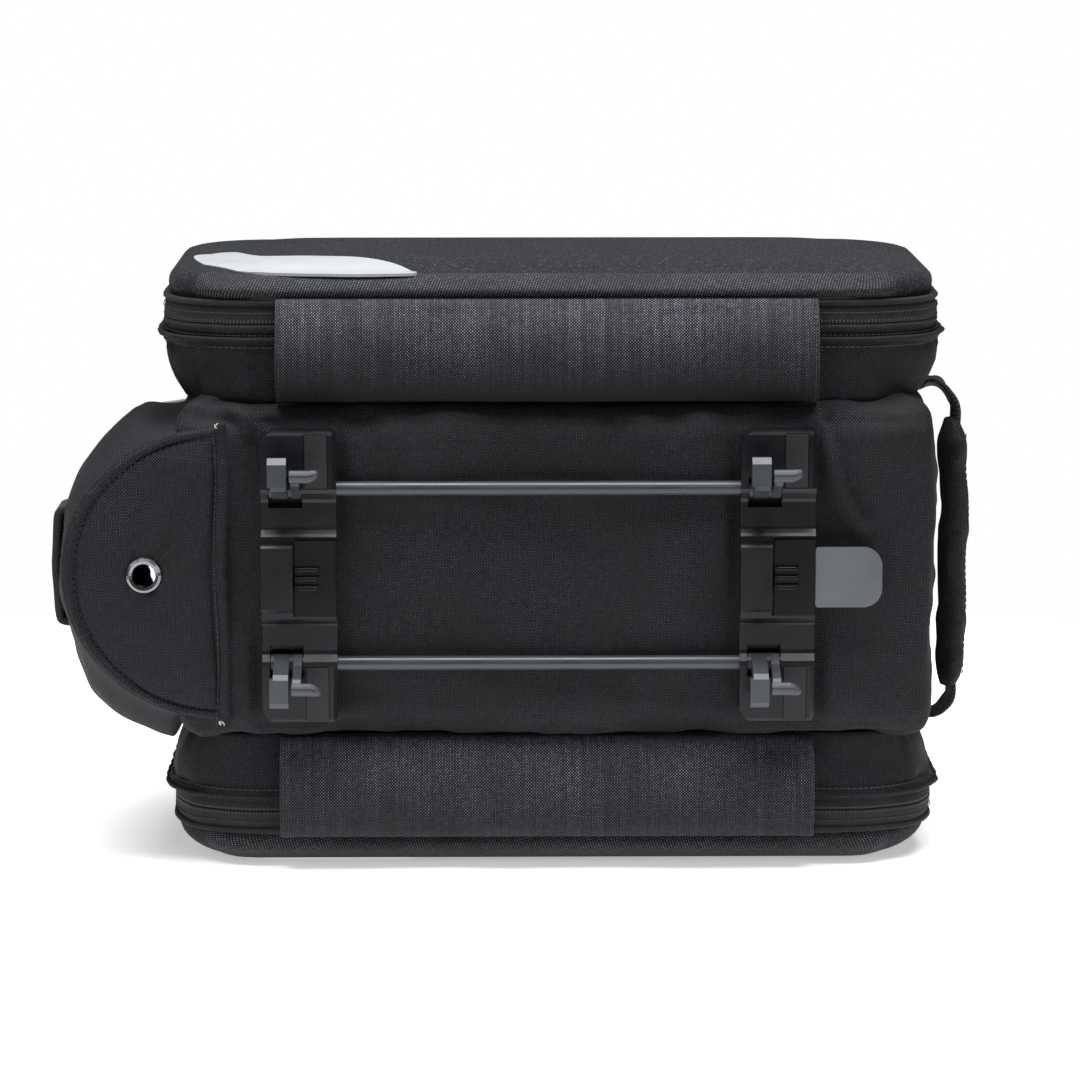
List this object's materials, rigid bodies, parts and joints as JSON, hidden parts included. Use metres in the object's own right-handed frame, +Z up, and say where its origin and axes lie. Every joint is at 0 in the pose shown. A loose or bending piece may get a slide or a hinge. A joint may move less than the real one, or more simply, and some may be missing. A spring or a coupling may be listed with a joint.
{
  "type": "bicycle rack trunk bag",
  "caption": "Padded fabric trunk bag for a bicycle rack, with a zipped lid, zipped side compartments, a bottle pocket, a carry handle and a quick-release hook mount on its underside.",
  "frame": {"origin": "centre of the bounding box's base, on the surface that the bag stands on", "axes": "+X along the bag towards its carry handle, +Y from the mount face towards the lid, +Z up across the bag's width, from its lower side compartment to its upper one"},
  "size_m": [0.4512, 0.2612, 0.286],
  "materials": {
    "fabric": "matte",
    "moulded_foam": "matte",
    "lining": "matte",
    "webbing": "matte",
    "zipper_tape": "matte",
    "zipper_metal": "satin",
    "reflective": "satin",
    "nylon": "satin",
    "pad_rubber": "matte",
    "rod_metal": "satin",
    "bright_metal": "satin",
    "board": "matte",
    "tab": "satin"
  },
  "bodies": {
    "bag": {"base_panel": "fabric", "upper_side_wall": "fabric", "lower_side_wall": "fabric", "pocket_end_wall": "fabric", "handle_end_wall": "fabric", "upper_gusset": "fabric", "lower_gusset": "fabric", "upper_hinge_flap": "fabric", "lower_hinge_flap": "fabric", "upper_stowed_pannier": "fabric", "lower_stowed_pannier": "fabric", "pocket_bottom": "fabric", "pocket_wall": "fabric", "lid_hinge_flap": "fabric", "pocket_elastic_hem": "webbing", "pocket_light_loop": "webbing", "lid_zipper_tape_on_tub": "zipper_tape", "upper_zipper_tape_on_gusset": "zipper_tape", "lower_zipper_tape_on_gusset": "zipper_tape", "pocket_reflective_piping": "reflective", "left_bracket": "nylon", "right_bracket": "nylon", "left_upper_grip_pad": "pad_rubber", "left_lower_grip_pad": "pad_rubber", "right_upper_grip_pad": "pad_rubber", "right_lower_grip_pad": "pad_rubber", "drain_eyelet": "bright_metal", "left_upper_screw": "bright_metal", "left_lower_screw": "bright_metal", "right_upper_screw": "bright_metal", "right_lower_screw": "bright_metal", "release_return_spring": "bright_metal", "base_stiffener_board": "board"},
    "lid": {"lid_shell": "moulded_foam", "lid_mesh_lining": "lining", "lid_zipper_tape_on_lid": "zipper_tape"},
    "upper_cover": {"upper_shell": "moulded_foam", "upper_zipper_tape_on_shell": "zipper_tape"},
    "lower_cover": {"lower_shell": "moulded_foam", "lower_zipper_tape_on_shell": "zipper_tape"},
    "upper_hook_shaft": {"upper_hook_rod": "rod_metal", "left_upper_hook": "nylon", "right_upper_hook": "nylon"},
    "lower_hook_shaft": {"lower_hook_rod": "rod_metal", "left_lower_hook": "nylon", "right_lower_hook": "nylon"},
    "right_release": {"right_release_slider": "nylon", "pull_tab": "tab"},
    "left_release": {"left_release_slider": "nylon"},
    "carry_handle": {"handle_grip": "fabric", "handle_webbing": "webbing"},
    "lid_slider_upper": {"lid_zipper_slider_upper": "zipper_metal"},
    "lid_slider_lower": {"lid_zipper_slider_lower": "zipper_metal"},
    "lid_pull_upper": {"lid_zipper_pull_upper": "zipper_metal"},
    "lid_pull_lower": {"lid_zipper_pull_lower": "zipper_metal"},
    "upper_zip_slider": {"upper_zipper_slider": "zipper_metal"},
    "lower_zip_slider": {"lower_zipper_slider": "zipper_metal"},
    "upper_zip_pull": {"upper_zipper_pull": "zipper_metal"},
    "lower_zip_pull": {"lower_zipper_pull": "zipper_metal"}
  },
  "joints": [
    {"name": "lid_hinge", "type": "hinge", "parent": "bag", "child": "lid", "pos_m": [0.20608, 0.1026, 0.143], "axis": [0, 0, -1], "range_deg": [0, 110]},
    {"name": "upper_cover_hinge", "type": "hinge", "parent": "bag", "child": "upper_cover", "pos_m": [0.01968, -0.0977, 0.2625], "axis": [1, 0, 0], "range_deg": [0, 100]},
    {"name": "lower_cover_hinge", "type": "hinge", "parent": "bag", "child": "lower_cover", "pos_m": [0.01968, -0.0977, 0.0235], "axis": [-1, 0, 0], "range_deg": [0, 100]},
    {"name": "upper_rod_turn", "type": "hinge", "parent": "bag", "child": "upper_hook_shaft", "pos_m": [0.01968, -0.1072, 0.1856], "axis": [1, 0, 0], "range_deg": [0, 30]},
    {"name": "lower_rod_turn", "type": "hinge", "parent": "bag", "child": "lower_hook_shaft", "pos_m": [0.01968, -0.1072, 0.1004], "axis": [-1, 0, 0], "range_deg": [0, 30]},
    {"name": "right_release_slide", "type": "slide", "parent": "bag", "child": "right_release", "axis": [1, 0, 0], "range_m": [0, 0.006], "stiffness_N_per_m": 400, "springref_m": -0.005, "deforming": ["release_return_spring"]},
    {"name": "left_release_slide", "type": "slide", "parent": "bag", "child": "left_release", "axis": [1, 0, 0], "range_m": [0, 0.006]},
    {"name": "handle_swing", "type": "hinge", "parent": "bag", "child": "carry_handle", "pos_m": [0.20458, -0.0094, 0.143], "axis": [0, 0, 1], "range_deg": [-10, 79]},
    {"name": "lid_slider_upper_run", "type": "slide", "parent": "bag", "child": "lid_slider_upper", "axis": [0, 0, 1], "range_m": [0, 0.048]},
    {"name": "lid_slider_lower_run", "type": "slide", "parent": "bag", "child": "lid_slider_lower", "axis": [0, 0, 1], "range_m": [-0.048, 0]},
    {"name": "upper_zip_run", "type": "slide", "parent": "bag", "child": "upper_zip_slider", "axis": [0, 1, 0], "range_m": [-0.034, 0.034]},
    {"name": "lower_zip_run", "type": "slide", "parent": "bag", "child": "lower_zip_slider", "axis": [0, 1, 0], "range_m": [-0.034, 0.034]},
    {"name": "lid_pull_upper_swing", "type": "hinge", "parent": "lid_slider_upper", "child": "lid_pull_upper", "pos_m": [-0.16932, 0.1026, 0.1596], "axis": [0, 1, 0], "range_deg": [0, 120]},
    {"name": "lid_pull_lower_swing", "type": "hinge", "parent": "lid_slider_lower", "child": "lid_pull_lower", "pos_m": [-0.16932, 0.1026, 0.1286], "axis": [0, 1, 0], "range_deg": [0, 120]},
    {"name": "upper_pull_swing", "type": "hinge", "parent": "upper_zip_slider", "child": "upper_zip_pull", "pos_m": [0.21168, -0.0014, 0.2593], "axis": [0, -1, 0], "range_deg": [0, 120]},
    {"name": "lower_pull_swing", "type": "hinge", "parent": "lower_zip_slider", "child": "lower_zip_pull", "pos_m": [0.21168, -0.0014, 0.0203], "axis": [0, -1, 0], "range_deg": [0, 120]}
  ],
  "couplings": [
    {"joint": "upper_rod_turn", "follows": "right_release_slide", "rad_per_m": 87.2},
    {"joint": "lower_rod_turn", "follows": "right_release_slide", "rad_per_m": 87.2},
    {"joint": "left_release_slide", "follows": "right_release_slide", "ratio": 1}
  ]
}
